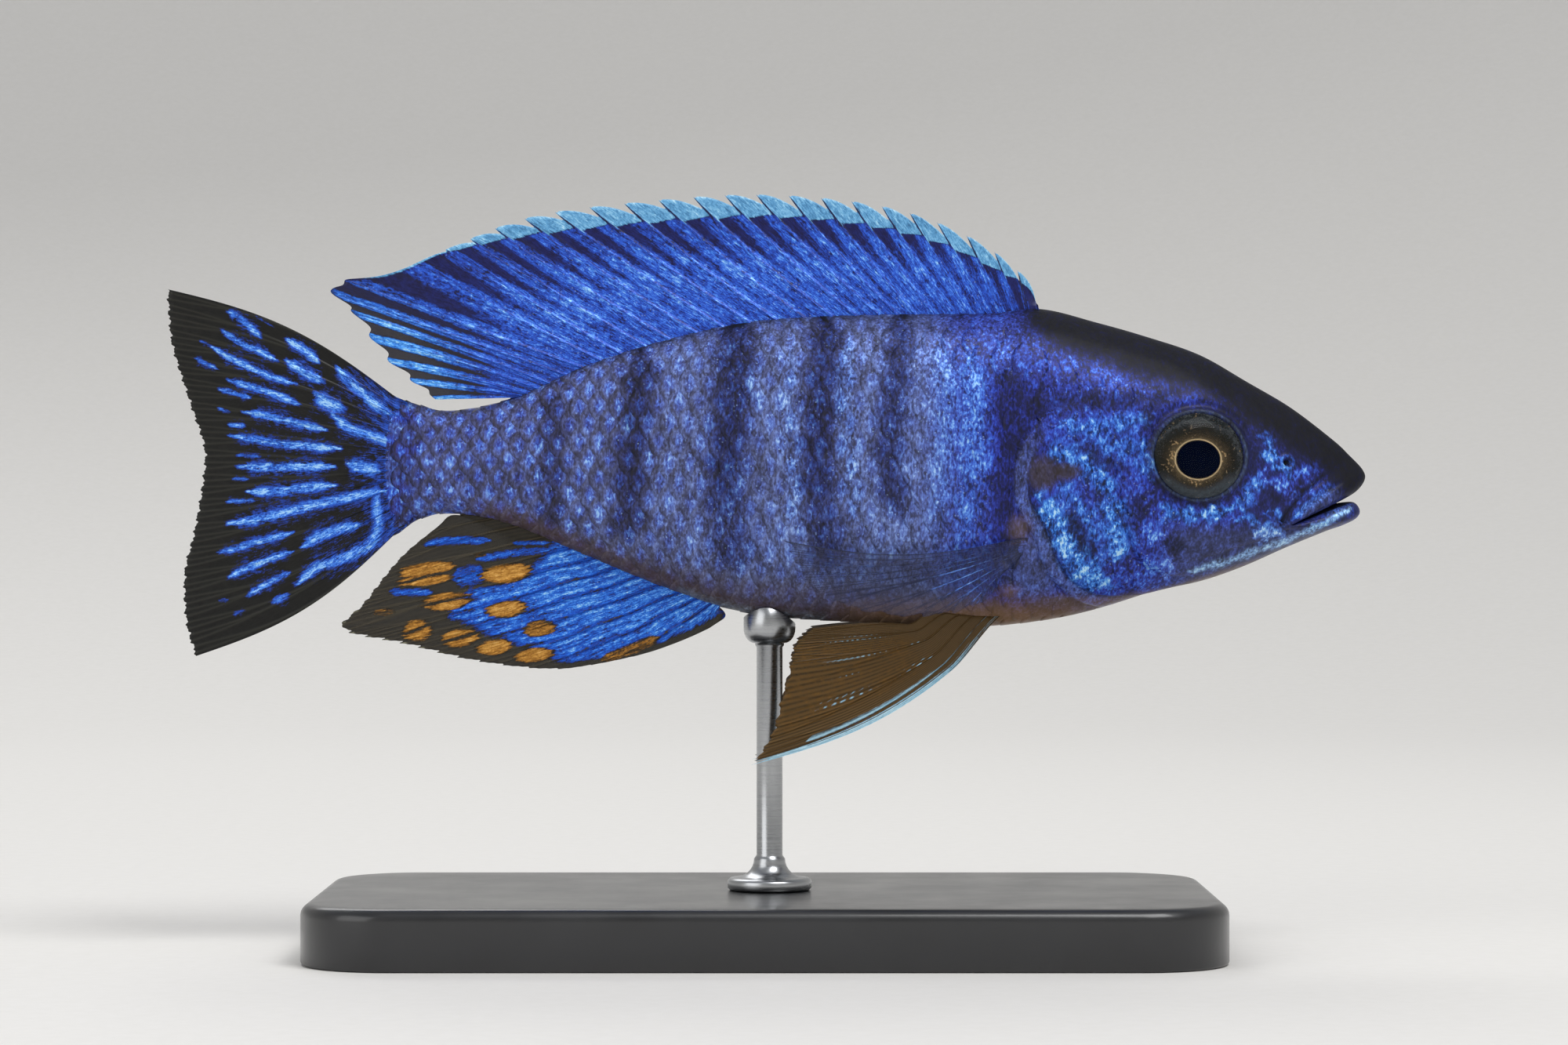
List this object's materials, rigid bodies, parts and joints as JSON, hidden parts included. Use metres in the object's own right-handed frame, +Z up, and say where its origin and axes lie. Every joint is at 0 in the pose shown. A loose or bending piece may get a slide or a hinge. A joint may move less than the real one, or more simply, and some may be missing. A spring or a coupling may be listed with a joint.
{
  "type": "peacock cichlid on a display stand",
  "caption": "Life-size still model of an adult male peacock cichlid in swimming pose, fins spread, held by a slim rod on a flat display base.",
  "frame": {"origin": "centre of the bounding box at the underside of the stand's base, where the model stands on a surface", "axes": "+X towards the snout, +Z up, so the fish's right side faces -Y and its left side +Y"},
  "size_m": [0.12, 0.046, 0.0757],
  "materials": {
    "skin": "wet scaled fish skin, indigo and pale blue bars with violet sheen, satin gloss",
    "lips": "smooth grey blue skin with a turquoise edge, satin gloss",
    "eye": "dark olive iris with gold flecks under a clear glossy cornea",
    "blue_fins": "blue streaked rayed membrane, pale blue edge, orange spots on the anal fin",
    "tail_fin": "dusky translucent membrane with blue streaks along the rays",
    "amber_fins": "amber translucent membrane with a pale blue leading edge",
    "clear_fins": "nearly clear membrane with fine grey blue rays",
    "stand_plate": "black satin lacquer on an aluminium plate",
    "stand_metal": "turned and brushed steel"
  },
  "bodies": {
    "root": {"head": "skin", "trunk": "skin", "tail_stalk": "skin", "gill_cover_right": "skin", "gill_cover_left": "skin", "upper_lip": "lips", "lower_jaw": "lips", "eye_right": "eye", "eye_left": "eye", "dorsal_fin": "blue_fins", "anal_fin": "blue_fins", "caudal_fin": "tail_fin", "pelvic_fin_right": "amber_fins", "pelvic_fin_left": "amber_fins", "pectoral_fin_right": "clear_fins", "pectoral_fin_left": "clear_fins", "stand_base": "stand_plate", "stand_foot": "stand_metal", "stand_rod": "stand_metal", "stand_cup": "stand_metal"}
  },
  "joints": []
}
